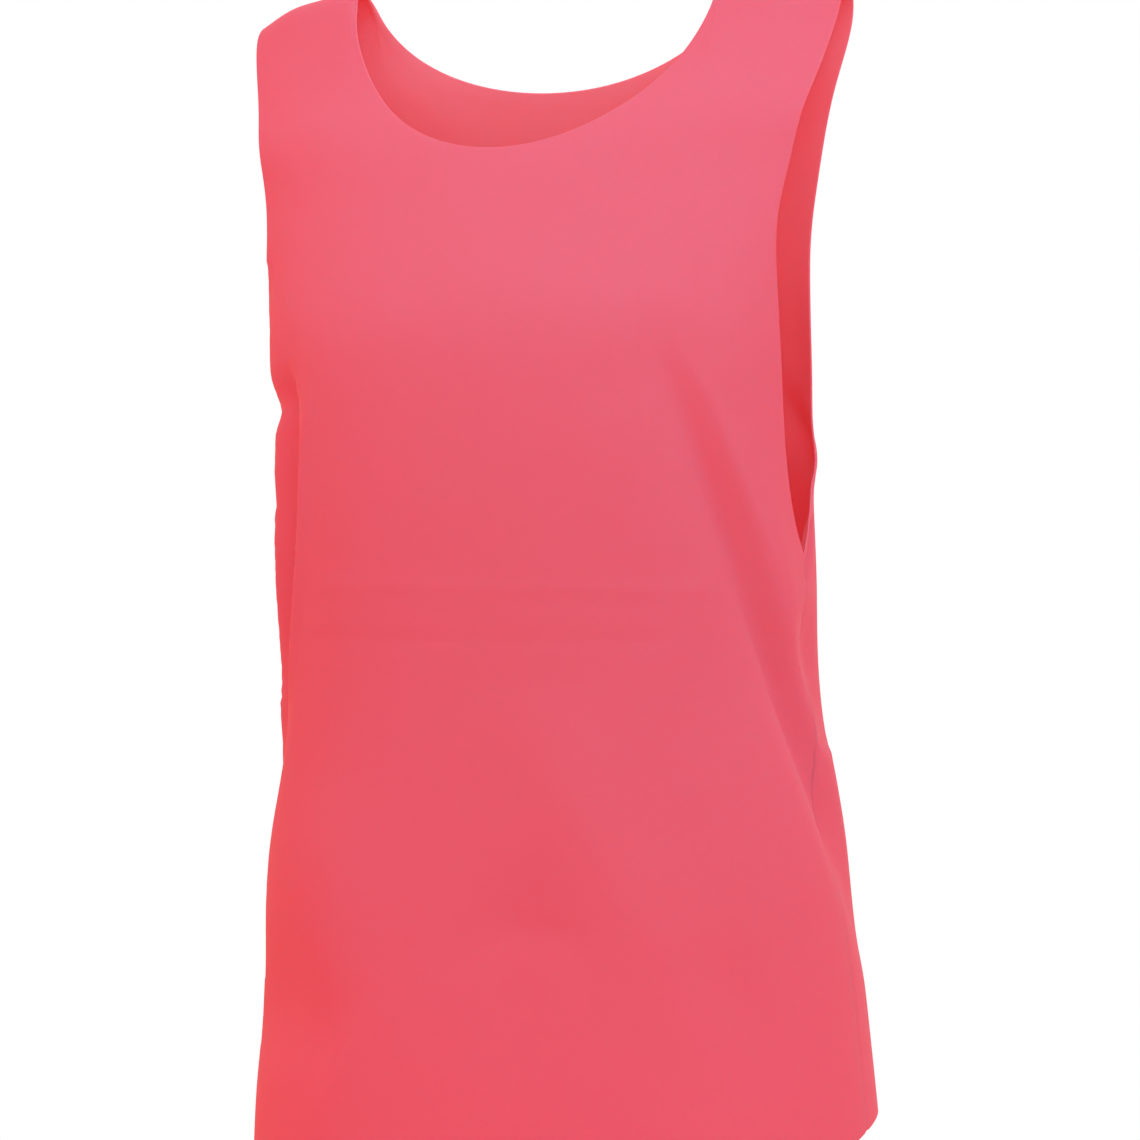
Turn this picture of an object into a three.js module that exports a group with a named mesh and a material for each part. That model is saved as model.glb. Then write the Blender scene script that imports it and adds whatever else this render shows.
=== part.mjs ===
// Sleeveless top with a scoop neck and low-cut armholes, standing open as it hangs on a figure.
// Two cut panels, front and back, meet at the shoulder seams and the side seams.
// Millimetres, +Z up, +X to the wearer's left, the front faces -Y.
// The origin lies midway between the two neck points of the shoulder seams.
import * as THREE from 'three';

// Driving sizes
const clothThickness = 1.6;
const seamGap = 0.3; // between the two panels where they are sewn
const neckHalfWidth = 116;
const frontNeckDrop = 112;
const backNeckDrop = 70;
const shoulderSlope = 12; // degrees
const shoulderDrawBack = 8; // how far the shoulder tips lie behind the neck points
const strapWidth = 70;
const tipDroop = 4; // the strap's outer edge bends down over the shoulder
const tipDroopStart = 0.55; // share of the strap's width where that bend begins
const neckBend = 6; // how softly the shoulder line sets off from the neck point
const slopeFade = 250; // depth below the shoulder line at which its slope has died away
const sideSeamAngle = 87; // degrees round from the centre front
const underarmHeight = -350;
const hemTilt = 6; // the hem hangs this much lower on the wearer's right
const seamPlaneDepth = 60; // down to here the inner faces keep to the shoulder seam's own plane

// How the panels' grids are spaced
const columnEasing = 0.35; // columns are this much wider at the centre line than at an even spacing
const rowEasing = 0.3; // and rows at the hem, up to the underarm
const armholeEasing = 1.2; // rows lie closer just above the underarm
const yokeEasing = 1.25; // and closer towards the top edge
const underarmGather = 0.6; // how far the columns have drawn towards the straps at the underarm

// Steps over which the surface's slope is read
const turnStep = 0.2; // degrees
const alongStep = 0.4;

const radians = Math.PI / 180;

// Level sections from the shoulder line down: the half width, then how far forward or back the
// side, the centre front and the centre back lie, and how square each half of the oval is.
const sections = [
  { height: 0, halfWidth: 203, side: 0, front: 0, back: 0, frontSquare: 4, backSquare: 4 },
  { height: -3, halfWidth: 203, side: 0, front: -9, back: 9, frontSquare: 5, backSquare: 5 },
  { height: -12, halfWidth: 203, side: -1, front: -15, back: 17, frontSquare: 5, backSquare: 5 },
  { height: -30, halfWidth: 202, side: -2, front: -22, back: 23, frontSquare: 5, backSquare: 5 },
  { height: -66, halfWidth: 197, side: -4, front: -41, back: 27, frontSquare: 4.2, backSquare: 5 },
  { height: -110, halfWidth: 189, side: -8, front: -78, back: 42, frontSquare: 2.3, backSquare: 3.5 },
  { height: -165, halfWidth: 176, side: -14, front: -108, back: 64, frontSquare: 2.2, backSquare: 2.5 },
  { height: -205, halfWidth: 169, side: -20, front: -127, back: 76, frontSquare: 2.2, backSquare: 2.2 },
  { height: -232, halfWidth: 165, side: -24, front: -133, back: 80, frontSquare: 2.3, backSquare: 2.2 },
  { height: -280, halfWidth: 160, side: -27, front: -135, back: 81, frontSquare: 2.3, backSquare: 2.2 },
  { height: -350, halfWidth: 160, side: -27, front: -134, back: 80, frontSquare: 2.2, backSquare: 2.2 },
  { height: -430, halfWidth: 161, side: -27, front: -132, back: 78, frontSquare: 2.2, backSquare: 2.2 },
  { height: -545, halfWidth: 176, side: -27, front: -138, back: 86, frontSquare: 2.2, backSquare: 2.2 },
  { height: -640, halfWidth: 184, side: -27, front: -146, back: 93, frontSquare: 2.2, backSquare: 2.2 },
  { height: -730, halfWidth: 190, side: -27, front: -151, back: 97, frontSquare: 2.2, backSquare: 2.2 },
];

// Armhole edges: how far round each panel reaches from its own centre line, in degrees.
const frontArmhole = [
  { height: 0, reach: 66.5 },
  { height: -40, reach: 62.8 },
  { height: -75, reach: 60.8 },
  { height: -105, reach: 60 },
  { height: -140, reach: 60.6 },
  { height: -165, reach: 62.6 },
  { height: -195, reach: 67 },
  { height: -235, reach: 73.5 },
  { height: -275, reach: 77.5 },
  { height: -315, reach: 80 },
  { height: -338, reach: 83 },
  { height: underarmHeight, reach: sideSeamAngle },
];
const backArmhole = [
  { height: 0, reach: 66.5 },
  { height: -55, reach: 59.8 },
  { height: -90, reach: 56.8 },
  { height: -126, reach: 55.8 },
  { height: -161, reach: 56.4 },
  { height: -196, reach: 60 },
  { height: -235, reach: 66 },
  { height: -275, reach: 74 },
  { height: -315, reach: 84 },
  { height: -338, reach: 89.5 },
  { height: underarmHeight, reach: 180 - sideSeamAngle },
];

// The hem line round the body, in degrees from the centre front: lowest front and back,
// rising in a curve to its highest just behind the side seam.
const hemLine = [
  { angle: 0, height: -704 },
  { angle: 45, height: -701 },
  { angle: 70, height: -692 },
  { angle: 87, height: -681 },
  { angle: 102, height: -675 },
  { angle: 120, height: -680 },
  { angle: 145, height: -693 },
  { angle: 180, height: -701 },
];

// Folds: each runs from its top to its bottom height while its middle moves round the body
// (degrees from the centre front, plus to the wearer's left). Positive rise stands out.
const folds = [
  { name: 'left bust trough', top: -205, bottom: -590, from: 36, via: 69, to: 104, rise: -11, width: 20 },
  { name: 'left bust ridge', top: -220, bottom: -540, from: 46, via: 76, to: 104, rise: 6, width: 18 },
  { name: 'right bust trough', top: -205, bottom: -500, from: -50, via: -66, to: -80, rise: -14, width: 19 },
  { name: 'right bust ridge', top: -225, bottom: -460, from: -68, via: -82, to: -94, rise: 2, width: 14 },
  { name: 'left belly ridge', top: -420, bottom: -640, from: 8, via: 22, to: 52, rise: 4, width: 34 },
  { name: 'belly hollow', top: -510, bottom: -640, from: 2, via: 4, to: 6, rise: -3, width: 28 },
  { name: 'left hip hollow', top: -540, bottom: -705, from: 46, via: 50, to: 52, rise: -4, width: 26 },
  { name: 'right hip ridge', top: -460, bottom: -760, from: -36, via: -34, to: -30, rise: 5, width: 32 },
  { name: 'left back trough', top: -240, bottom: -690, from: 150, via: 136, to: 130, rise: -9, width: 26 },
  { name: 'right back trough', top: -250, bottom: -700, from: -146, via: -138, to: -126, rise: -8, width: 28 },
  { name: 'centre back hollow', top: -150, bottom: -520, from: 180, via: 180, to: 180, rise: -7, width: 34 },
];

// A smooth curve through the rows of a table, read at any value of its first column.
function readTable(rows, key, column, at) {
  const last = rows.length - 1;
  const dir = Math.sign(rows[last][key] - rows[0][key]);
  if ((at - rows[0][key]) * dir <= 0) return rows[0][column];
  if ((at - rows[last][key]) * dir >= 0) return rows[last][column];
  let i = 0;
  while ((rows[i + 1][key] - at) * dir < 0) i += 1;
  const slope = (j) => {
    const a = rows[Math.max(j - 1, 0)];
    const b = rows[Math.min(j + 1, last)];
    return (b[column] - a[column]) / (b[key] - a[key]);
  };
  const step = rows[i + 1][key] - rows[i][key];
  const t = (at - rows[i][key]) / step;
  const p0 = rows[i][column];
  const p1 = rows[i + 1][column];
  const m0 = slope(i) * step;
  const m1 = slope(i + 1) * step;
  return (
    (2 * t ** 3 - 3 * t ** 2 + 1) * p0 +
    (t ** 3 - 2 * t ** 2 + t) * m0 +
    (-2 * t ** 3 + 3 * t ** 2) * p1 +
    (t ** 3 - t ** 2) * m1
  );
}

// Sections are read by the distance along the front's own profile, so that the rounded
// top of the shoulder is as well formed as the long fall below it.
sections.forEach((row, i) => {
  const before = sections[i - 1];
  row.along = before
    ? before.along + Math.hypot(row.height - before.height, row.front - before.front)
    : 0;
});
const totalAlong = sections[sections.length - 1].along;

function sectionAt(along) {
  const read = (column) => readTable(sections, 'along', column, along);
  return {
    height: read('height'),
    halfWidth: read('halfWidth'),
    side: read('side'),
    front: read('front'),
    back: read('back'),
    frontSquare: read('frontSquare'),
    backSquare: read('backSquare'),
  };
}

function alongAtHeight(height) {
  let low = 0;
  let high = totalAlong;
  for (let i = 0; i < 40; i += 1) {
    const middle = (low + high) / 2;
    if (sectionAt(middle).height > height) low = middle;
    else high = middle;
  }
  return (low + high) / 2;
}

function smoothStep(t) {
  const c = Math.min(Math.max(t, 0), 1);
  return c * c * (3 - 2 * c);
}

// The figure that the cloth hangs on, with no folds. Angle is in degrees from the centre front.
function figurePoint(angle, along) {
  const section = sectionAt(along);
  const across = Math.sin(angle * radians);
  const isFront = Math.cos(angle * radians) > 0;
  const square = isFront ? section.frontSquare : section.backSquare;
  const depth = Math.max(1 - Math.abs(across) ** square, 0) ** (1 / square);
  const x = section.halfWidth * across;
  const reach = isFront ? section.front - section.side : section.back - section.side;
  const beyondNeck = Math.abs(x) - neckHalfWidth;
  const outward = Math.log(1 + Math.exp(beyondNeck / neckBend)) * neckBend;
  const fade = 1 - smoothStep(-section.height / slopeFade);
  const bent = (beyondNeck / strapWidth - tipDroopStart) / (1 - tipDroopStart);
  const droop = tipDroop * smoothStep(bent);
  return new THREE.Vector3(
    x,
    section.side + reach * depth + (shoulderDrawBack * outward * fade) / strapWidth,
    section.height - (Math.tan(shoulderSlope * radians) * outward + droop) * fade,
  );
}

// The normal of any surface(angle, along), pointing away from the body.
function normalOf(surface, angle, along) {
  const before = Math.max(along - alongStep, 0);
  const acrossCloth = surface(angle + turnStep, along).sub(surface(angle - turnStep, along));
  const downCloth = surface(angle, along + alongStep).sub(surface(angle, before));
  return downCloth.cross(acrossCloth).normalize();
}

function foldRise(angle, height) {
  const millimetresPerDegree = 2.85; // round the body
  const endSoftness = 0.8; // how a fold runs out at its top and bottom
  let rise = 0;
  for (const fold of folds) {
    const t = (fold.top - height) / (fold.top - fold.bottom);
    if (t <= 0 || t >= 1) continue;
    const middle = (1 - t) ** 2 * fold.from + 2 * t * (1 - t) * fold.via + t ** 2 * fold.to;
    let turn = angle - middle;
    if (turn > 180) turn -= 360;
    if (turn < -180) turn += 360;
    const off = (turn * millimetresPerDegree) / fold.width;
    rise += fold.rise * Math.sin(Math.PI * t) ** endSoftness * Math.exp(-off * off);
  }
  return rise;
}

function clothPoint(angle, along) {
  const point = figurePoint(angle, along);
  const rise = foldRise(angle, point.z);
  if (rise === 0) return point;
  return point.addScaledVector(normalOf(figurePoint, angle, along), rise);
}

function hemHeight(angle) {
  const height = readTable(hemLine, 'angle', 'height', Math.abs(angle));
  return height + hemTilt * Math.sin(angle * radians);
}

// The grid of one panel: columns from the centre line to the side, rows from the hem to the top edge.
const neckColumns = 10; // from the centre line to the neck point
const strapColumns = 8; // from the neck point to the armhole
const halfColumns = neckColumns + strapColumns;
const sideRows = 20; // hem to underarm
const armholeRows = 12; // underarm to yoke line
const yokeRows = 15; // yoke line to the top edge, where the neck and straps part
const yokeHeight = -150;

function panelGrid(panel) {
  const reachAt = (height) => readTable(panel.armhole, 'height', 'reach', height);
  const neckTurn = Math.asin(neckHalfWidth / sections[0].halfWidth) / radians;
  const columns = [];
  for (let i = 0; i <= halfColumns; i += 1) {
    const evenShare = (i / halfColumns) * (1 + columnEasing * (1 - i / halfColumns));
    if (i < neckColumns) {
      const t = (i / neckColumns) * 90 * radians;
      const topAlong = alongAtHeight(-panel.neckDrop * Math.cos(t));
      const across = (neckHalfWidth * Math.sin(t)) / sectionAt(topAlong).halfWidth;
      columns.push({ evenShare, topAlong, topTurn: Math.asin(across) / radians });
    } else {
      const strapShare = (i - neckColumns) / strapColumns;
      columns.push({ evenShare, topAlong: 0, strapShare });
    }
  }
  const underarmAlong = alongAtHeight(underarmHeight);
  const yokeAlong = alongAtHeight(yokeHeight);
  const grid = [];
  const addRow = (alongOf, gather, side) => {
    const line = [];
    for (let i = -halfColumns; i <= halfColumns; i += 1) {
      const column = columns[Math.abs(i)];
      const along = alongOf(column, Math.sign(i));
      const reach = side ? panel.seamReach : reachAt(sectionAt(along).height);
      const even = column.evenShare * reach;
      const top = column.topTurn ?? neckTurn + (reach - neckTurn) * column.strapShare;
      line.push({ angle: panel.angle(Math.sign(i) * (even + (top - even) * gather)), along });
    }
    grid.push(line);
  };
  for (let row = 0; row < sideRows; row += 1) {
    const t = (row / sideRows) * (1 + rowEasing * (1 - row / sideRows));
    const gather = smoothStep(underarmGather * t);
    addRow(
      (column, sign) => {
        const turn = panel.angle(sign * column.evenShare * panel.seamReach);
        const hemAlong = alongAtHeight(hemHeight(turn));
        return hemAlong + (underarmAlong - hemAlong) * t;
      },
      gather,
      true,
    );
  }
  for (let row = 0; row < armholeRows; row += 1) {
    const t = (row / armholeRows) ** armholeEasing;
    const gather = smoothStep(underarmGather + ((1 - underarmGather) * row) / armholeRows);
    addRow(() => underarmAlong + (yokeAlong - underarmAlong) * t, gather, row === 0);
  }
  for (let row = 0; row <= yokeRows; row += 1) {
    const t = 1 - (1 - row / yokeRows) ** yokeEasing;
    addRow((column) => yokeAlong + (column.topAlong - yokeAlong) * t, 1, false);
  }
  return grid;
}

function normalOfTriangle(a, b, c) {
  return b.clone().sub(a).cross(c.clone().sub(a)).normalize();
}

// One panel as a closed wall: its outer face, its inner face and the cut edge between them.
function panelGeometry(panel) {
  const grid = panelGrid(panel);
  const rows = grid.length;
  const columns = grid[0].length;
  const positions = [];
  const inner = [];
  for (const line of grid) {
    for (const { angle, along } of line) {
      const point = clothPoint(angle, along);
      const normal = along === 0 ? shoulderNormal(angle) : normalOf(clothPoint, angle, along);
      point.y += panel.shift;
      positions.push(point.x, point.y, point.z);
      const under = point.clone().addScaledVector(normal, -clothThickness);
      if (point.z > -seamPlaneDepth) {
        const seam = seamDepth(under.x) + panel.shift * 2;
        under.y = panel.turned ? Math.max(under.y, seam) : Math.min(under.y, seam);
      }
      inner.push(under.x, under.y, under.z);
    }
  }
  const count = rows * columns;
  positions.push(...inner);
  const index = [];
  const quad = (a, b, c, d) => {
    if (panel.turned) index.push(a, c, b, a, d, c);
    else index.push(a, b, c, a, c, d);
  };
  const at = (row, column) => row * columns + column;
  const corner = (i) => new THREE.Vector3().fromArray(positions, i * 3);
  const bend = (a, b, c, d) => {
    const one = normalOfTriangle(corner(a), corner(b), corner(c));
    const two = normalOfTriangle(corner(a), corner(c), corner(d));
    return 1 - one.dot(two);
  };
  for (let row = 0; row < rows - 1; row += 1) {
    for (let column = 0; column < columns - 1; column += 1) {
      const a = at(row, column);
      const b = at(row, column + 1);
      const c = at(row + 1, column + 1);
      const d = at(row + 1, column);
      if (bend(a, b, c, d) <= bend(b, c, d, a)) {
        quad(a, b, c, d);
        quad(c + count, b + count, a + count, d + count);
      } else {
        quad(b, c, d, a);
        quad(b + count, a + count, d + count, c + count);
      }
    }
  }
  const edge = [];
  for (let column = 0; column < columns - 1; column += 1) edge.push(at(0, column));
  for (let row = 0; row < rows - 1; row += 1) edge.push(at(row, columns - 1));
  for (let column = columns - 1; column > 0; column -= 1) edge.push(at(rows - 1, column));
  for (let row = rows - 1; row > 0; row -= 1) edge.push(at(row, 0));
  edge.forEach((a, i) => {
    const b = edge[(i + 1) % edge.length];
    quad(b, a, a + count, b + count);
  });
  const geometry = new THREE.BufferGeometry();
  geometry.setAttribute('position', new THREE.Float32BufferAttribute(positions, 3));
  geometry.setIndex(index);
  geometry.computeVertexNormals();
  return geometry;
}

// Straight up from the shoulder seam, square to the seam's own slope.
function shoulderNormal(angle) {
  const seam = clothPoint(angle + turnStep, 0).sub(clothPoint(angle - turnStep, 0));
  const normal = seam.cross(new THREE.Vector3(0, 1, 0)).normalize();
  return normal.z < 0 ? normal.negate() : normal;
}

// How far forward or back the shoulder seam lies at a distance from the centre line.
function seamDepth(x) {
  const across = Math.min(Math.max(x / sections[0].halfWidth, -1), 1);
  return clothPoint(Math.asin(across) / radians, 0).y;
}

const panels = [
  {
    name: 'front',
    armhole: frontArmhole,
    neckDrop: frontNeckDrop,
    seamReach: sideSeamAngle,
    angle: (turn) => turn,
    shift: -seamGap / 2,
    turned: false,
  },
  {
    name: 'back',
    armhole: backArmhole,
    neckDrop: backNeckDrop,
    seamReach: 180 - sideSeamAngle,
    angle: (turn) => (turn >= 0 ? 180 - turn : -180 - turn),
    shift: seamGap / 2,
    turned: true,
  },
];

const top = new THREE.Group();
for (const panel of panels) {
  const cloth = new THREE.MeshStandardMaterial({
    color: 0xe9667c,
    roughness: 0.85,
    metalness: 0,
    side: THREE.DoubleSide,
  });
  const mesh = new THREE.Mesh(panelGeometry(panel), cloth);
  mesh.name = panel.name;
  top.add(mesh);
}

export default top;
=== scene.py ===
# Sleeveless jersey top, filled out as worn: a front and a back panel of thin coral cloth.
import math

import bmesh
import bpy
import numpy as np
from mathutils import Matrix, Vector


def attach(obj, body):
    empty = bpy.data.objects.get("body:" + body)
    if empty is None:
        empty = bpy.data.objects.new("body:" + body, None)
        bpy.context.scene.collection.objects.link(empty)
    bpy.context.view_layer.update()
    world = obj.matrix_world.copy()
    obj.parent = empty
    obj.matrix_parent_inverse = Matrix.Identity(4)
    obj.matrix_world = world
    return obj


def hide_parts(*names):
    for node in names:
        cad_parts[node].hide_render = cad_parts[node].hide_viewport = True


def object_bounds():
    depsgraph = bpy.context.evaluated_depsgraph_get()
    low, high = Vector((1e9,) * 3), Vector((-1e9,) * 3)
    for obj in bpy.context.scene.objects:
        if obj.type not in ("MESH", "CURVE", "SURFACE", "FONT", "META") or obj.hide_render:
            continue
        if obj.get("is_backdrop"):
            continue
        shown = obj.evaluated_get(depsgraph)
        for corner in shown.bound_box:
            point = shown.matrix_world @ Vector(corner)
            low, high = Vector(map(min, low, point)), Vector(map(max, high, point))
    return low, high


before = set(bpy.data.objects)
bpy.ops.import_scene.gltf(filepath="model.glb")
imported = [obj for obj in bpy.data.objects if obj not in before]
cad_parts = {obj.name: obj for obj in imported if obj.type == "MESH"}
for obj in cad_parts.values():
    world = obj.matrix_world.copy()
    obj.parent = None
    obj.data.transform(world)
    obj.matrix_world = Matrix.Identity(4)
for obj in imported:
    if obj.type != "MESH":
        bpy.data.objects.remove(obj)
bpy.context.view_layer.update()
low, high = (Vector(corner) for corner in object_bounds())
print("frame loaded", [round(v, 3) for v in low], [round(v, 3) for v in high])

camera = {
    "azimuth": 20.0,  # degrees round from the front, towards the wearer's left
    "roll": 1.8,
    "distance": 2.3,
    "frameWidth": 0.6646,  # what the picture takes in at that distance
    "sensor": 36.0,
    "centre": (0.0, -0.025, low.z + 0.352),
    "aside": 0.0135,
}


def makeCamera():
    turn = math.radians(camera["azimuth"])
    roll = math.radians(camera["roll"])
    back = Vector((math.sin(turn), -math.cos(turn), 0.0))
    right = Vector((math.cos(turn), math.sin(turn), 0.0))
    up = Vector((0.0, 0.0, 1.0))
    rolledRight = right * math.cos(roll) - up * math.sin(roll)
    rolledUp = right * math.sin(roll) + up * math.cos(roll)
    place = Vector(camera["centre"]) + right * camera["aside"] + back * camera["distance"]
    data = bpy.data.cameras.new("camera")
    data.sensor_width = camera["sensor"]
    data.lens = camera["sensor"] * camera["distance"] / camera["frameWidth"]
    obj = bpy.data.objects.new("camera", data)
    obj.matrix_world = Matrix(
        (
            (rolledRight.x, rolledUp.x, back.x, place.x),
            (rolledRight.y, rolledUp.y, back.y, place.y),
            (rolledRight.z, rolledUp.z, back.z, place.z),
            (0.0, 0.0, 0.0, 1.0),
        )
    )
    bpy.context.scene.collection.objects.link(obj)
    bpy.context.scene.camera = obj


studio = {
    "backdrop": (1.0, 1.0, 1.0),
    "towards": (1.025, 0.68, 0.625),  # soft light from all round, cooler from the bright side
    "away": (1.03, 0.30, 0.165),
    "brightWay": (0.8, -0.4, 0.3),
    "roundStrength": 1.0,
    "floorDrop": 1.5,  # the floor lies this far below the hem
    "floorSize": 5.0,
    "floorGlow": 0.92,  # the floor is white by itself, whatever tint the room has
    "lamps": [
        {
            "name": "highLamp",
            "place": (0.8, -0.9, 0.7),
            "size": 1.0,
            "power": 12.6,
            "colour": (0.03, 0.96, 1.0),
        },
        {
            "name": "farLamp",
            "place": (-0.6, -0.8, 0.4),
            "size": 0.8,
            "power": 0.5,
            "colour": (0.05, 0.95, 1.0),
        },
        {
            "name": "frontLamp",
            "place": (-0.1, -1.0, 0.3),
            "size": 0.8,
            "power": 2.7,
            "colour": (0.1, 1.0, 0.92),
        },
    ],
    "aimDepth": 0.45,  # the lamps look at this share of the way down to the hem
}


def makeStudio():
    scene = bpy.context.scene
    scene.view_settings.view_transform = "Standard"
    world = bpy.data.worlds.new("paleRoom")
    world.use_nodes = True
    nodes = world.node_tree.nodes
    links = world.node_tree.links
    way = nodes.new("ShaderNodeTexCoord")
    rise = nodes.new("ShaderNodeVectorMath")
    rise.operation = "DOT_PRODUCT"
    rise.inputs[1].default_value = Vector(studio["brightWay"]).normalized()
    links.new(way.outputs["Generated"], rise.inputs[0])
    share = nodes.new("ShaderNodeMapRange")
    share.inputs["From Min"].default_value = -1.0
    links.new(rise.outputs["Value"], share.inputs["Value"])
    tint = nodes.new("ShaderNodeMix")
    tint.data_type = "RGBA"
    tint.inputs["A"].default_value = (*studio["away"], 1.0)
    tint.inputs["B"].default_value = (*studio["towards"], 1.0)
    links.new(share.outputs["Result"], tint.inputs["Factor"])
    fill = nodes["Background"]
    links.new(tint.outputs["Result"], fill.inputs["Color"])
    fill.inputs["Strength"].default_value = studio["roundStrength"]
    backdrop = nodes.new("ShaderNodeBackground")
    backdrop.inputs["Color"].default_value = (*studio["backdrop"], 1.0)
    seen = nodes.new("ShaderNodeLightPath")
    either = nodes.new("ShaderNodeMixShader")
    links.new(seen.outputs["Is Camera Ray"], either.inputs["Fac"])
    links.new(fill.outputs[0], either.inputs[1])
    links.new(backdrop.outputs[0], either.inputs[2])
    links.new(either.outputs[0], nodes["World Output"].inputs["Surface"])
    scene.world = world
    bpy.ops.mesh.primitive_plane_add(
        size=studio["floorSize"], location=(0.0, 0.0, low.z - studio["floorDrop"])
    )
    floor = bpy.context.object
    floor.name = "floor"
    paint = bpy.data.materials.new("paleFloor")
    paint.use_nodes = True
    shader = paint.node_tree.nodes["Principled BSDF"]
    shader.inputs["Base Color"].default_value = (0.0, 0.0, 0.0, 1.0)
    shader.inputs["Roughness"].default_value = 1.0
    shader.inputs["Specular IOR Level"].default_value = 0.0
    shader.inputs["Emission Color"].default_value = (*studio["backdrop"], 1.0)
    shader.inputs["Emission Strength"].default_value = studio["floorGlow"]
    floor.data.materials.append(paint)
    floor.visible_diffuse = False  # it is seen, but throws no light back up
    floor.visible_glossy = False
    floor.visible_transmission = False
    floor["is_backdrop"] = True
    for lamp in studio["lamps"]:
        light = bpy.data.lights.new(lamp["name"], "AREA")
        light.color = lamp["colour"]
        light.energy = lamp["power"]
        light.size = lamp["size"]
        obj = bpy.data.objects.new(lamp["name"], light)
        obj.location = Vector(lamp["place"])
        aim = Vector((0.0, 0.0, low.z * studio["aimDepth"])) - obj.location
        obj.rotation_euler = aim.to_track_quat("-Z", "Y").to_euler()
        scene.collection.objects.link(obj)


cloth = {
    "weld": 1e-5,
    "rimAngle": 60.0,  # the solid's cut edges turn by more than this
    "flatAngle": 35.0,
    "axis": (0.0, -0.027),  # folds stand out from this upright line
    "radius": 0.163,  # about that of the body, for lengths round it
    "perColumn": 5,  # fine steps between two lines of the solid
    "perRow": 4,
    "edgeSteps": (0.07, 0.15, 0.3),  # closer lines at the edges
    "thickness": 0.0009,
    "turned": 0.0003,  # what the turned edge adds
    "turnedWidth": 0.006,
    "turnedFade": 0.008,
    "seamFlat": 0.004,  # no turned edge this close to a seam
    "seamEnd": 0.002,  # and no rounded one
    "seamDip": 0.0004,
    "seamWidth": 0.0025,
    "tipLift": 0.0015,
    "tipTuck": 0.003,
    "tipStart": 0.140,  # how far out the shoulder tips begin to curl
    "tipWidth": 0.046,
    "tipFoot": -0.075,  # and the height below which they don't
    "tipHeight": 0.055,
    "hemZone": 0.1,  # the hem's corners lie within this height of the lowest point
    "pathSteps": 40,
    "crossHeight": -0.15,  # above this height the sheet's own measure runs straight across
    "cornerReach": 0.02,  # how far in from a corner its sharp line is felt
}


def boundaryLoop(mesh):
    # the edge of the skin as one loop, from the wearer's right hem corner along the hem
    nearby = {}
    for edge in mesh.edges:
        if len(edge.link_faces) == 1:
            one, two = edge.verts
            nearby.setdefault(one, []).append(two)
            nearby.setdefault(two, []).append(one)

    def sharpness(vert):
        before, after = nearby[vert]
        return (vert.co - before.co).angle(after.co - vert.co)

    hemPoints = [v for v in nearby if v.co.z < low.z + cloth["hemZone"]]
    corners = sorted(hemPoints, key=sharpness)[-2:]
    corners.sort(key=lambda v: v.co.x)
    start = corners[0]
    loop = [start, min(nearby[start], key=lambda v: v.co.z)]
    while True:
        one, two = nearby[loop[-1]]
        following = two if one is loop[-2] else one
        if following is start:
            return loop, loop.index(corners[1])
        loop.append(following)


def outerGrid(node, side):
    # the outer skin of a panel's wall as rows of points, hem upwards, wearer's right to left
    mesh = bmesh.new()
    mesh.from_mesh(node.data)
    bmesh.ops.remove_doubles(mesh, verts=mesh.verts, dist=cloth["weld"])
    bend = {edge: edge.calc_face_angle() for edge in mesh.edges}
    rims = {v for edge in mesh.edges if bend[edge] > math.radians(cloth["rimAngle"]) for v in edge.verts}
    seed = min((v for v in mesh.verts if v not in rims), key=lambda v: v.co.y * side)
    skin = {seed}
    queue = [seed]
    while queue:
        vert = queue.pop()
        for edge in vert.link_edges:
            other = edge.other_vert(vert)
            if other in skin:
                continue
            skin.add(other)
            if other not in rims:
                queue.append(other)
    # a corner of the panel touches nothing but edges, so it is taken in by its flat triangle
    corners = set()
    for edge in mesh.edges:
        if bend[edge] < math.radians(cloth["flatAngle"]) and all(v in skin for v in edge.verts):
            corners.update(v for face in edge.link_faces for v in face.verts)
    skin |= corners
    rest = [f for f in mesh.faces if not all(v in skin for v in f.verts)]
    bmesh.ops.delete(mesh, geom=rest, context="FACES")
    loop, across = boundaryLoop(mesh)
    upward = len(loop) // 2 - across
    beside = {}
    for face in mesh.faces:
        for edge in face.edges:
            beside.setdefault(frozenset(edge.verts), []).append(face)
    done = set()

    def thirdPoint(one, two):
        face = next(f for f in beside[frozenset((one, two))] if f not in done)
        done.add(face)
        return next(v for v in face.verts if v not in (one, two))

    rows = [loop[: across + 1]]
    for step in range(upward):
        below = rows[-1]
        line = [loop[-1 - step]]
        for column in range(across):
            corner = thirdPoint(below[column], line[-1])
            if corner is below[column + 1]:
                corner = thirdPoint(corner, line[-1])
            else:
                thirdPoint(below[column], corner)
            line.append(corner)
        rows.append(line)
    points = np.array([[v.co[:] for v in line] for line in rows])
    mesh.free()
    print(node.name, "skin of", points.shape[0], "by", points.shape[1], "points")
    return points


def splineWeights(count, places, corners=()):
    # smooth cubic lines through a row of points, sharp only at its ends and at the corners
    weights = np.zeros((len(places), count))
    ends = [0, *corners, count - 1]
    for first, last in zip(ends, ends[1:]):
        inside = np.flatnonzero((places >= first) & (places <= last))
        local = places[inside] - first
        span = np.minimum(local.astype(int), last - first - 1)
        f = local - span
        part = np.zeros((len(inside), last - first + 3))
        at = np.arange(len(inside))
        part[at, span] = (1 - f) ** 3 / 6
        part[at, span + 1] = (3 * f**3 - 6 * f**2 + 4) / 6
        part[at, span + 2] = (-3 * f**3 + 3 * f**2 + 3 * f + 1) / 6
        part[at, span + 3] = f**3 / 6
        part[:, 1] += 2 * part[:, 0]
        part[:, 2] -= part[:, 0]
        part[:, -2] += 2 * part[:, -1]
        part[:, -3] -= part[:, -1]
        weights[inside, first : last + 1] = part[:, 1:-1]
    return weights


def finePlaces(count, steps):
    even = np.linspace(0, count - 1, (count - 1) * steps + 1)
    near = np.array(cloth["edgeSteps"])
    return np.unique(np.concatenate([even, near, count - 1 - near]))


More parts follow.
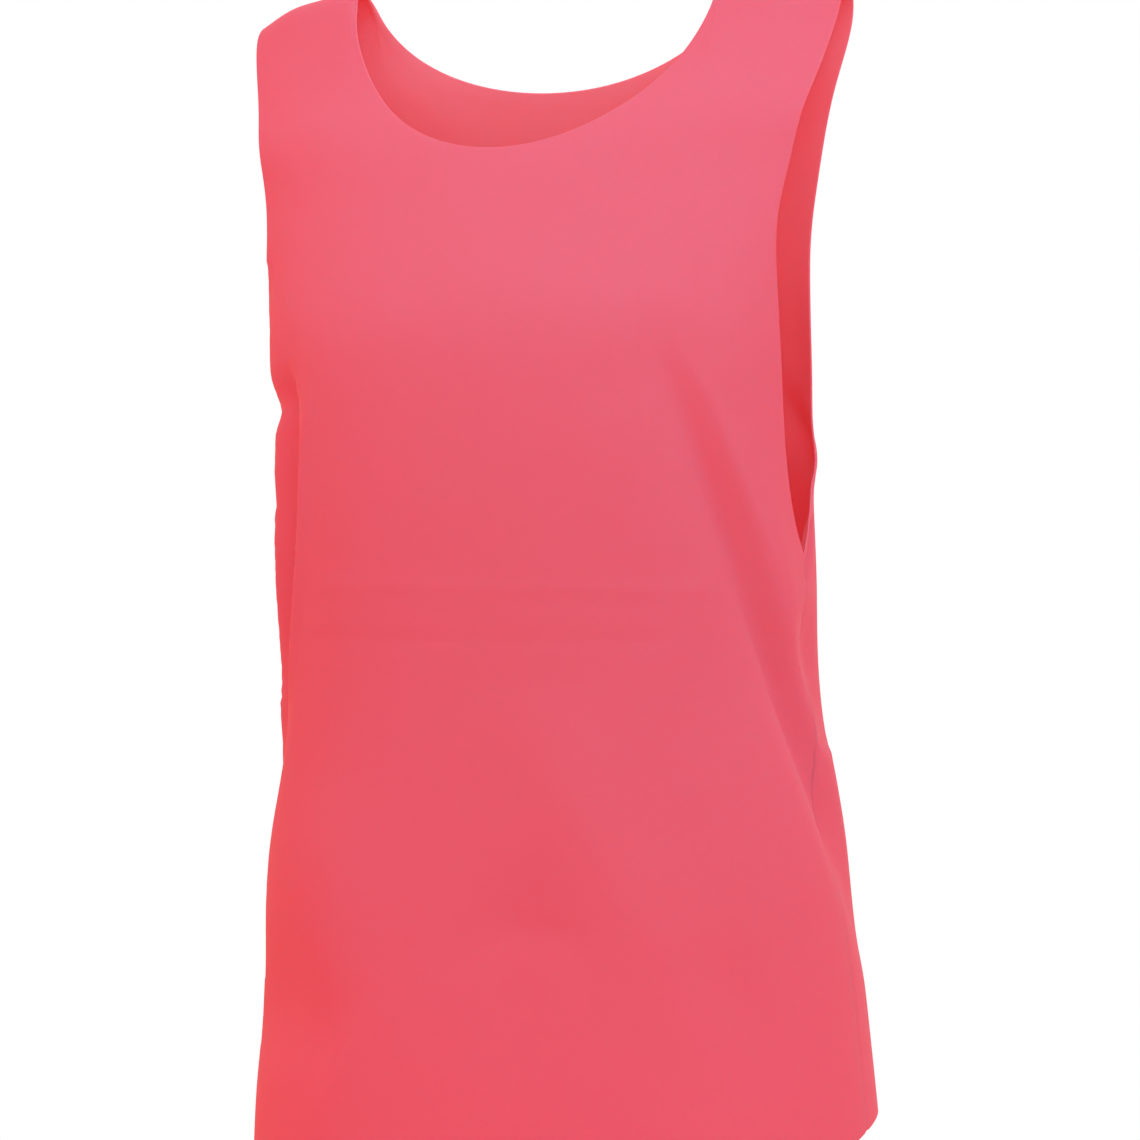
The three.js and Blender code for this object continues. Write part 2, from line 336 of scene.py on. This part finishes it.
def runLength(points, axis):
    # how far along its lines each point lies
    steps = np.linalg.norm(np.diff(points, axis=axis), axis=2)
    return np.insert(np.cumsum(steps, axis=axis), 0, 0.0, axis=axis)


def finePanel(grid, underarm, neckColumns):
    rowPlaces = finePlaces(grid.shape[0], cloth["perRow"])
    columnPlaces = finePlaces(grid.shape[1], cloth["perColumn"])
    across = splineWeights(grid.shape[1], columnPlaces)
    upward = splineWeights(grid.shape[0], rowPlaces)
    points = np.einsum("ri,ijk,cj->rck", upward, grid, across)
    # the underarm and neck points stay sharp, so that the two panels meet right up to them
    sharpUp = splineWeights(grid.shape[0], rowPlaces, (underarm,))
    sharpAcross = splineWeights(grid.shape[1], columnPlaces, neckColumns)
    reach = cloth["cornerReach"]
    for edge in (0, -1):
        change = sharpUp @ grid[:, edge] - points[:, edge]
        into = runLength(points if edge == 0 else points[:, ::-1], 1)
        fade = np.clip(1 - into / reach, 0, 1) ** 2
        fade = fade if edge == 0 else fade[:, ::-1]
        points += fade[..., None] * change[:, None]
    change = sharpAcross @ grid[-1] - points[-1]
    down = runLength(points[::-1], 0)[::-1]
    points += (np.clip(1 - down / reach, 0, 1) ** 2)[..., None] * change[None]
    return points, rowPlaces, columnPlaces


# Creases and soft folds beside those of the solid. Each follows a path of points, given as
# degrees round from the centre front (plus to the wearer's left) and height in metres.
# A positive rise stands out from the cloth, and width is half the width of the fold. In metres.
creases = [
    {
        "name": "left bust groove",
        "path": [(50.5, -0.232), (55, -0.262), (61, -0.306), (67.5, -0.351), (74, -0.396), (80.5, -0.442),
                 (87, -0.489), (90, -0.53)],
        "rise": -0.0034,
        "width": 0.0075,
    },
    {
        "name": "left bust ridge",
        "path": [(55, -0.232), (59.5, -0.262), (65.3, -0.307), (72.3, -0.352), (78.3, -0.397), (84.5, -0.435),
                 (90, -0.47)],
        "rise": 0.0048,
        "width": 0.0068,
    },
    {
        "name": "under the left bust",
        "path": [(30, -0.252), (42, -0.252), (54, -0.246)],
        "rise": -0.0014,
        "width": 0.016,
    },
    {
        "name": "bust line",
        "path": [(-75, -0.205), (-45, -0.212), (0, -0.190), (40, -0.205), (70, -0.212)],
        "rise": 0.002,
        "width": 0.034,
    },
    {
        "name": "right bust groove",
        "path": [(-62, -0.238), (-68, -0.262), (-70, -0.30), (-72, -0.34), (-77, -0.385), (-84, -0.43)],
        "rise": -0.0105,
        "width": 0.0125,
    },
    {
        "name": "right bust edge",
        "path": [(-50, -0.238), (-55, -0.27), (-57, -0.32), (-61.5, -0.366), (-69, -0.413), (-78, -0.455)],
        "rise": 0.0036,
        "width": 0.0068,
    },
    {
        "name": "left side dip",
        "path": [(86, -0.375), (88.5, -0.405), (91.5, -0.435), (94, -0.465)],
        "rise": -0.0068,
        "width": 0.02,
    },
    {
        "name": "right side swell",
        "path": [(-80, -0.31), (-81, -0.36), (-82, -0.40), (-84, -0.44), (-88, -0.49)],
        "rise": 0.0065,
        "width": 0.018,
    },
    {
        "name": "belly highlight",
        "path": [(26, -0.42), (26, -0.47), (24, -0.53)],
        "rise": 0.0022,
        "width": 0.026,
    },
    {
        "name": "under the belly",
        "path": [(-18, -0.578), (-4, -0.560), (9, -0.549), (22, -0.556), (34, -0.578)],
        "rise": -0.0017,
        "width": 0.015,
    },
    {
        "name": "left hip hollow",
        "path": [(47, -0.565), (58, -0.590), (67, -0.645)],
        "rise": -0.0024,
        "width": 0.018,
    },
    {
        "name": "right side dip",
        "path": [(-80, -0.165), (-80, -0.205), (-80, -0.245), (-80, -0.29)],
        "rise": -0.0045,
        "width": 0.02,
    },
    {
        "name": "right hip shelf",
        "path": [(-80, -0.514), (-68, -0.510), (-52, -0.515), (-38, -0.535)],
        "rise": 0.0022,
        "width": 0.034,
    },
    {
        "name": "right hip hollow",
        "path": [(-84, -0.60), (-68, -0.598), (-52, -0.604), (-40, -0.625)],
        "rise": -0.0085,
        "width": 0.034,
    },
    {
        "name": "right bust corner",
        "path": [(-60, -0.238), (-67, -0.246), (-76, -0.256), (-86, -0.262)],
        "rise": -0.0055,
        "width": 0.010,
    },
    {
        "name": "left underarm pocket",
        "path": [(95, -0.328), (92.5, -0.342), (90, -0.352), (88, -0.366)],
        "rise": -0.006,
        "width": 0.0035,
    },
    {
        "name": "left underarm drag",
        "path": [(124, -0.250), (117, -0.268), (111, -0.281), (103, -0.293), (95, -0.304)],
        "rise": 0.0045,
        "width": 0.011,
    },
    {
        "name": "left back drag",
        "path": [(152, -0.24), (143, -0.32), (130, -0.42), (118, -0.51)],
        "rise": -0.0042,
        "width": 0.012,
    },
    {
        "name": "left back swell",
        "path": [(163, -0.29), (153, -0.38), (140, -0.49), (131, -0.60)],
        "rise": 0.003,
        "width": 0.015,
    },
    {
        "name": "right back drag",
        "path": [(-149, -0.235), (-139, -0.33), (-125, -0.43), (-112, -0.53)],
        "rise": -0.0048,
        "width": 0.013,
    },
    {
        "name": "right back hollow",
        "path": [(-167, -0.40), (-152, -0.49), (-138, -0.59), (-130, -0.68)],
        "rise": -0.0035,
        "width": 0.016,
    },
    {
        "name": "back waist crease",
        "path": [(-152, -0.452), (-172, -0.462), (-195, -0.458), (-216, -0.44)],
        "rise": -0.0022,
        "width": 0.012,
    },
    {
        "name": "left side drag",
        "path": [(106, -0.37), (111, -0.43), (109, -0.50)],
        "rise": -0.003,
        "width": 0.01,
    },
    {
        "name": "right side drag",
        "path": [(-102, -0.36), (-110, -0.42), (-114, -0.50)],
        "rise": -0.0034,
        "width": 0.01,
    },
    {
        "name": "left hem flute",
        "path": [(121, -0.60), (123, -0.65), (124, -0.71)],
        "rise": 0.0045,
        "width": 0.018,
        "openEnd": True,
    },
    {
        "name": "right hem flute",
        "path": [(-117, -0.60), (-119, -0.66), (-120, -0.71)],
        "rise": -0.0045,
        "width": 0.018,
        "openEnd": True,
    },
    {
        "name": "back hem flute",
        "path": [(168, -0.61), (170, -0.66), (171, -0.72)],
        "rise": 0.0035,
        "width": 0.02,
        "openEnd": True,
    },
    {
        "name": "back hem hollow",
        "path": [(-163, -0.62), (-165, -0.67), (-166, -0.72)],
        "rise": -0.0035,
        "width": 0.02,
        "openEnd": True,
    },
]

# faint marks across the front from when the top lay folded
foldMarks = [
    {
        "name": "upper fold mark",
        "start": (-62, -0.356),
        "end": (78, -0.369),
        "rise": 0.0006,
        "width": 0.0028,
    },
    {
        "name": "lower fold mark",
        "start": (-63, -0.388),
        "end": (64, -0.395),
        "rise": -0.0006,
        "width": 0.0032,
    },
]


def creaseRise(crease, angle, height):
    nodes = np.array(crease["path"], float)
    places = np.linspace(0, len(nodes) - 1, cloth["pathSteps"] + 1)
    line = splineWeights(len(nodes), places) @ nodes
    around = cloth["radius"] * math.pi / 180
    turn = (angle[..., None] - line[:, 0] + 180) % 360 - 180
    gap = np.hypot(turn * around, height[..., None] - line[:, 1])
    nearest = gap.argmin(axis=-1)
    along = nearest / cloth["pathSteps"]
    taper = np.sin(np.pi * np.clip(along, 0.0, 1.0)) ** 0.75
    if crease.get("openEnd"):
        taper = np.where(along > 0.5, 1.0, taper)
    uneven = 1 + 0.12 * np.sin(9 * along + 40 * crease["width"] + nodes[0, 0])
    off = gap.min(axis=-1) / crease["width"]
    return crease["rise"] * taper * uneven * np.exp(-off * off)


def foldMarkRise(mark, angle, height):
    share = (angle - mark["start"][0]) / (mark["end"][0] - mark["start"][0])
    line = mark["start"][1] + share * (mark["end"][1] - mark["start"][1])
    off = (height - line) / mark["width"]
    ends = fadeIn(share, 0.12) * fadeIn(1 - share, 0.12)  # it dies away at both ends
    return mark["rise"] * ends * np.exp(-off * off)


def addCreases(points):
    place = points - (*cloth["axis"], 0.0)
    angle = np.degrees(np.arctan2(place[..., 0], -place[..., 1]))
    height = points[..., 2]
    rise = sum(creaseRise(crease, angle, height) for crease in creases)
    rise = rise + sum(foldMarkRise(mark, angle, height) for mark in foldMarks)
    away = place * (1, 1, 0)
    away /= np.linalg.norm(away, axis=2, keepdims=True)
    return points + away * rise[..., None]


def roundTips(points):
    # the ends of the shoulders curl over softly
    wide = np.abs(points[..., 0])
    out = np.clip((wide - cloth["tipStart"]) / cloth["tipWidth"], 0, 1)
    near = out * np.clip((points[..., 2] - cloth["tipFoot"]) / cloth["tipHeight"], 0, 1)
    lifted = points.copy()
    lifted[..., 2] += cloth["tipLift"] * np.sin(np.pi * near**1.3)
    lifted[..., 0] -= np.sign(points[..., 0]) * cloth["tipTuck"] * near**3
    return lifted


def outwardNormals(points, side):
    normals = np.cross(np.gradient(points, axis=1), np.gradient(points, axis=0)) * side
    return normals / np.linalg.norm(normals, axis=2, keepdims=True)


def perimeter(rows, columns):
    bottom = [(0, c) for c in range(columns)]
    left = [(r, columns - 1) for r in range(1, rows)]
    top = [(rows - 1, c) for c in range(columns - 2, -1, -1)]
    right = [(r, 0) for r in range(rows - 2, 0, -1)]
    return bottom + left + top + right


def fadeIn(distance, width):
    t = np.clip(distance / width, 0, 1)
    return t * t * (3 - 2 * t)


def buildPanel(name, grid, side, underarm, neckColumns):
    points, rowPlaces, columnPlaces = finePanel(grid, underarm, neckColumns)
    points = roundTips(addCreases(points))
    rows, columns = points.shape[:2]
    fromHem = runLength(points, 0)
    fromTop = runLength(points[::-1], 0)[::-1]
    fromSide = np.minimum(runLength(points, 1), runLength(points[:, ::-1], 1)[:, ::-1])
    underarmRow = int(np.searchsorted(rowPlaces, underarm))
    above = fromHem - fromHem[underarmRow]
    neckEnds = [int(np.searchsorted(columnPlaces, c)) for c in neckColumns]
    sideways = runLength(points, 1)
    pastNeck = np.maximum(sideways[:, neckEnds[:1]] - sideways, sideways - sideways[:, neckEnds[1:]])
    toArmhole = np.hypot(fromSide, np.maximum(-above, 0))
    toNeck = np.hypot(fromTop, np.maximum(pastNeck, 0))
    toSideSeam = np.hypot(fromSide, np.maximum(above, 0))
    toShoulder = np.hypot(fromTop, np.maximum(-pastNeck, 0))
    toEdge = np.minimum(np.minimum(toArmhole, toNeck), fromHem)
    toSeam = np.minimum(toSideSeam, toShoulder)
    normals = outwardNormals(points, side)
    dip = cloth["seamDip"] * np.exp(-((toSeam / cloth["seamWidth"]) ** 2))
    # both panels dip the same way along a seam, so that their edges stay together
    inwards = (points - (*cloth["axis"], 0.0)) * (1, 1, 0)
    inwards /= np.linalg.norm(inwards, axis=2, keepdims=True)
    inwards = np.where((toShoulder < toSideSeam)[..., None], (0.0, 0.0, 1.0), inwards)
    outer = points - inwards * dip[..., None]
    pastTurn = fadeIn(toEdge - cloth["turnedWidth"], cloth["turnedFade"])
    wall = cloth["thickness"] + cloth["turned"] * (1 - pastTurn)
    wall = np.where(toSeam < cloth["seamFlat"], cloth["thickness"], wall)
    inner = outer - normals * wall[..., None]
    ring = perimeter(rows, columns)
    rim = []
    for i, (r, c) in enumerate(ring):
        before = Vector(outer[ring[i - 1]])
        after = Vector(outer[ring[(i + 1) % len(ring)]])
        out = Vector(outer[r, c])
        under = Vector(inner[r, c])
        up = (out - under) / 2
        beyond = (after - before).cross(up).normalized() * side
        free = toSeam[r, c] > cloth["seamEnd"]
        reach = up.length if free else 0.0
        rim.append([(out + under) / 2 + up * math.cos(a) + beyond * reach * math.sin(a)
                    for a in (math.pi * 0.25, math.pi * 0.5, math.pi * 0.75)])
    count = rows * columns
    verts = np.concatenate([outer.reshape(-1, 3), inner.reshape(-1, 3), np.array(rim).reshape(-1, 3)])
    index = np.arange(count).reshape(rows, columns)
    quads = np.stack([index[:-1, :-1], index[:-1, 1:], index[1:, 1:], index[1:, :-1]], axis=-1)
    quads = quads.reshape(-1, 4)
    steps = len(rim[0])
    rings = [[index[r, c] for r, c in ring]]
    rings += [[2 * count + i * steps + k for i in range(len(ring))] for k in range(steps)]
    rings += [[index[r, c] + count for r, c in ring]]
    edges = []
    for one, two in zip(rings, rings[1:]):
        for i in range(len(ring)):
            j = (i + 1) % len(ring)
            edges.append((one[j], one[i], two[i], two[j]))
    faces = np.concatenate([quads, quads[:, ::-1] + count, np.array(edges)])
    if side < 0:
        faces = faces[:, ::-1]
    mesh = bpy.data.meshes.new(name)
    mesh.from_pydata(verts.tolist(), [], faces.tolist())
    mesh.update()
    obj = bpy.data.objects.new(name, mesh)
    bpy.context.scene.collection.objects.link(obj)
    # cloth coordinates in metres: across from the centre line, and up from the hem
    centre = columns // 2
    yoke = int(np.argmin(np.abs(points[:, centre, 2] - cloth["crossHeight"])))
    flatAcross = sideways - sideways[:, centre : centre + 1]
    shift = points[..., 0] - points[yoke, :, 0]
    flatAcross[yoke:] = flatAcross[yoke] + shift[yoke:]
    flatUp = fromHem + points[0, :, 2]
    perPoint = {
        "clothAcross": flatAcross,
        "clothUp": flatUp,
        "toEdge": toEdge,
        "toSeam": toSeam,
    }
    inRing = np.array([index[r, c] for r, c in ring])
    for label, values in perPoint.items():
        flat = values.reshape(-1)
        full = np.concatenate([flat, flat, np.repeat(flat[inRing], steps)])
        layer = mesh.attributes.new(label, "FLOAT", "POINT")
        layer.data.foreach_set("value", full.astype(np.float32))
    inside = np.concatenate([np.zeros(count), np.ones(count), np.full(len(ring) * steps, 0.5)])
    layer = mesh.attributes.new("inside", "FLOAT", "POINT")
    layer.data.foreach_set("value", inside.astype(np.float32))
    loopVerts = np.zeros(len(mesh.loops), dtype=np.int32)
    mesh.loops.foreach_get("vertex_index", loopVerts)
    across = np.concatenate([flatAcross.reshape(-1)] * 2 + [np.repeat(flatAcross.reshape(-1)[inRing], steps)])
    upwards = np.concatenate([flatUp.reshape(-1)] * 2 + [np.repeat(flatUp.reshape(-1)[inRing], steps)])
    uv = mesh.uv_layers.new(name="clothMap")
    uv.data.foreach_set("uv", np.stack([across[loopVerts], upwards[loopVerts]], axis=1).reshape(-1))
    mesh.polygons.foreach_set("use_smooth", [True] * len(mesh.polygons))
    mesh.update()
    print(name, len(mesh.vertices), "points", len(mesh.polygons), "faces")
    return obj


jersey = {
    "colour": (0.80, 0.125, 0.20),
    "deeper": (0.79, 0.1, 0.155),
    "insideWithPaintedFill": (0.95, 0.2, 0.275),  # the duller, paler inside of the knit, lightened further as painted light to fill the shade inside the top
    "roughness": 0.75,
    "sheen": 0.12,
    "sheenRoughness": 0.4,
    "sheenTint": (1.0, 0.75, 0.85),
    "specular": 0.12,
    "through": 0.6,  # how much of the light passes into the cloth
    "throughRadius": (1.0, 0.15, 0.15),
    "throughDepth": 0.004,
    "wale": 0.0009,  # one column of stitches
    "course": 0.0007,  # one row of stitches
    "bump": 0.35,
    "knitRise": 0.00006,
    "fuzzRise": 0.00008,
    "fuzzScale": 1600.0,
    "cloudScale": 9.0,  # slow change of tone over the cloth
    "cloudShare": 0.35,
    "stitchLength": 0.0028,
    "stitchPlace": 0.0125,  # the hem stitches show only inside, this far from the edge
    "stitchWidth": 0.0006,
    "overlockWidth": 0.006,  # the seam allowances inside, oversewn
    "threadRise": 0.0004,
}


def jerseyMaterial():
    material = bpy.data.materials.new("coralJersey")
    material.use_nodes = True
    nodes = material.node_tree.nodes
    links = material.node_tree.links
    shader = nodes["Principled BSDF"]
    shader.inputs["Roughness"].default_value = jersey["roughness"]
    shader.inputs["Specular IOR Level"].default_value = jersey["specular"]
    shader.inputs["Subsurface Weight"].default_value = jersey["through"]
    shader.inputs["Subsurface Radius"].default_value = jersey["throughRadius"]
    shader.inputs["Subsurface Scale"].default_value = jersey["throughDepth"]
    shader.inputs["Sheen Weight"].default_value = jersey["sheen"]
    shader.inputs["Sheen Roughness"].default_value = jersey["sheenRoughness"]
    shader.inputs["Sheen Tint"].default_value = (*jersey["sheenTint"], 1.0)

    def add(kind, **settings):
        node = nodes.new(kind)
        for key, value in settings.items():
            setattr(node, key, value)
        return node

    def calc(operation, one, two=None, three=None):
        node = add("ShaderNodeMath", operation=operation)
        for socket, value in zip(node.inputs, (one, two, three)):
            if value is None:
                continue
            if isinstance(value, (int, float)):
                socket.default_value = value
            else:
                links.new(value, socket)
        return node.outputs[0]

    place = add("ShaderNodeTexCoord")
    flat = add("ShaderNodeUVMap", uv_map="clothMap")
    split = add("ShaderNodeSeparateXYZ")
    links.new(flat.outputs["UV"], split.inputs[0])
    across, up = split.outputs[0], split.outputs[1]
    # stocking stitch: ribs down the cloth, each a row of small slanting loops
    rib = calc("SINE", calc("MULTIPLY", across, 2 * math.pi / jersey["wale"]))
    lean = calc("MULTIPLY", calc("ABSOLUTE", rib), 1.4)
    loops = calc("SINE", calc("ADD", calc("MULTIPLY", up, 2 * math.pi / jersey["course"]), lean))
    knit = calc("ADD", calc("MULTIPLY", calc("ABSOLUTE", rib), 0.6), calc("MULTIPLY", loops, 0.4))
    fuzz = add("ShaderNodeTexNoise")
    fuzz.inputs["Scale"].default_value = jersey["fuzzScale"]
    fuzz.inputs["Detail"].default_value = 3.0
    links.new(place.outputs["Object"], fuzz.inputs["Vector"])
    grain = calc("MULTIPLY", knit, jersey["knitRise"])
    grain = calc("ADD", grain, calc("MULTIPLY", fuzz.outputs["Fac"], jersey["fuzzRise"]))
    # sewing threads, on the inside only
    within = add("ShaderNodeAttribute", attribute_name="inside")
    fromEdge = add("ShaderNodeAttribute", attribute_name="toEdge").outputs["Fac"]
    fromSeam = add("ShaderNodeAttribute", attribute_name="toSeam").outputs["Fac"]
    onLine = calc("LESS_THAN", calc("ABSOLUTE", calc("SUBTRACT", fromEdge, jersey["stitchPlace"])),
                  jersey["stitchWidth"])
    along = calc("SINE", calc("MULTIPLY", calc("ADD", across, up), 2 * math.pi / jersey["stitchLength"]))
    hemStitch = calc("MULTIPLY", onLine, calc("GREATER_THAN", along, -0.4))
    nearSeam = calc("LESS_THAN", fromSeam, jersey["overlockWidth"])
    slant = calc("ADD", up, calc("MULTIPLY", fromSeam, 0.35))
    loop = calc("ABSOLUTE", calc("SINE", calc("MULTIPLY", slant, math.pi / jersey["stitchLength"])))
    overlock = calc("MULTIPLY", nearSeam, calc("ADD", calc("MULTIPLY", loop, 0.5), 0.5))
    insideOnly = calc("GREATER_THAN", within.outputs["Fac"], 0.75)
    thread = calc("MULTIPLY", calc("MAXIMUM", hemStitch, overlock), insideOnly)
    grain = calc("ADD", grain, calc("MULTIPLY", thread, jersey["threadRise"]))
    bump = add("ShaderNodeBump")
    bump.inputs["Strength"].default_value = jersey["bump"]
    bump.inputs["Distance"].default_value = 1.0
    links.new(grain, bump.inputs["Height"])
    links.new(bump.outputs["Normal"], shader.inputs["Normal"])
    cloud = add("ShaderNodeTexNoise")
    cloud.inputs["Scale"].default_value = jersey["cloudScale"]
    cloud.inputs["Detail"].default_value = 4.0
    links.new(place.outputs["Object"], cloud.inputs["Vector"])
    tone = add("ShaderNodeMix", data_type="RGBA")
    tone.inputs["A"].default_value = (*jersey["colour"], 1.0)
    tone.inputs["B"].default_value = (*jersey["deeper"], 1.0)
    links.new(calc("MULTIPLY", cloud.outputs["Fac"], jersey["cloudShare"]), tone.inputs["Factor"])
    # the inside faces take the paler colour, which also holds painted light against the shade inside the
    # hollow
    turned = add("ShaderNodeMix", data_type="RGBA")
    turned.inputs["B"].default_value = (*jersey["insideWithPaintedFill"], 1.0)
    links.new(tone.outputs["Result"], turned.inputs["A"])
    links.new(within.outputs["Fac"], turned.inputs["Factor"])
    links.new(turned.outputs["Result"], shader.inputs["Base Color"])
    return material


makeCamera()
makeStudio()
print("camera and studio ready")

sides = {"front": 1, "back": -1}
grids = {name: outerGrid(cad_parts[name], side) for name, side in sides.items()}
apart = np.linalg.norm(grids["front"] - grids["back"], axis=2)
meeting = apart[:, 0] < 0.001
underarm = int(np.flatnonzero(~meeting)[0]) - 1  # the row where the side seams end
shoulders = np.flatnonzero(apart[-1] >= 0.001)
neckColumns = (int(shoulders[0]) - 1, int(shoulders[-1]) + 1)
print("underarm row", underarm, "neck columns", neckColumns)

# the sewn edges of the two panels meet midway between them
sewn = [np.s_[: underarm + 1, 0], np.s_[: underarm + 1, -1]]
sewn += [np.s_[-1, : neckColumns[0] + 1], np.s_[-1, neckColumns[1] :]]
for edge in sewn:
    middle = (grids["front"][edge] + grids["back"][edge]) / 2
    grids["front"][edge] = middle
    grids["back"][edge] = middle

coral = jerseyMaterial()
cuts = {
    "front": {"flat": (0.49, 0.74), "area": 0.265},
    "back": {"flat": (0.52, 0.71), "area": 0.269},
}
for name, cut in cuts.items():
    piece = buildPanel(name + "Panel", grids[name], sides[name], underarm, neckColumns)
    piece.data.materials.append(coral)
    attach(piece, "root")
    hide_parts(name)
